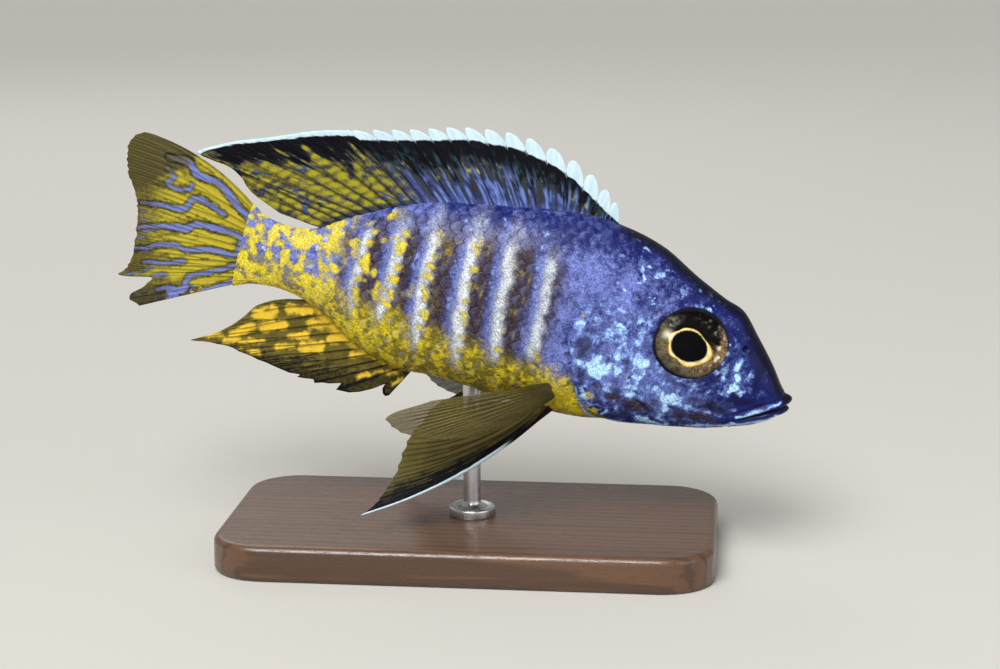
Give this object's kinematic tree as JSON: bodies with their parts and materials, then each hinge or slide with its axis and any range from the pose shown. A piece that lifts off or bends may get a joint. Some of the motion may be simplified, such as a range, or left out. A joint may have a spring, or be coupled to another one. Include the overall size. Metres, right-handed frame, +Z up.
{
  "type": "peacock cichlid model",
  "caption": "Life-size still model of an adult male peacock cichlid, swimming nose down with fins spread, on a board with one steel rod.",
  "frame": {"origin": "centre of the stand base's underside, under the rod", "axes": "+X towards the head end, +Y towards the fish's left side, +Z up"},
  "size_m": [0.1168, 0.046, 0.0728],
  "materials": {
    "blue_flesh": "painted skin, blue violet with turquoise flecks, satin",
    "barred_flesh": "painted scales, violet and olive with pale bars, satin",
    "gold_flesh": "painted scales, yellow with blue spots, satin",
    "dark_fin": "painted fin web, black and blue with a white edge, satin",
    "gold_fin": "painted fin web, yellow with blue and brown, satin",
    "smoky_fin": "painted fin web, clear olive brown, satin",
    "eye": "brown and gold iris under a clear polished dome",
    "stand_wood": "dark hardwood, waxed",
    "stand_steel": "drawn steel rod, brushed"
  },
  "bodies": {
    "root": {"head": "blue_flesh", "lower_jaw": "blue_flesh", "gill_cover_left": "blue_flesh", "gill_cover_right": "blue_flesh", "eye_left": "eye", "eye_right": "eye", "torso": "barred_flesh", "tail_stalk": "gold_flesh", "dorsal_fin": "dark_fin", "anal_fin": "gold_fin", "tail_fin": "gold_fin", "pectoral_fin_left": "smoky_fin", "pectoral_fin_right": "smoky_fin", "pelvic_fin_left": "smoky_fin", "pelvic_fin_right": "smoky_fin", "stand_base": "stand_wood", "stand_rod": "stand_steel"}
  },
  "joints": []
}
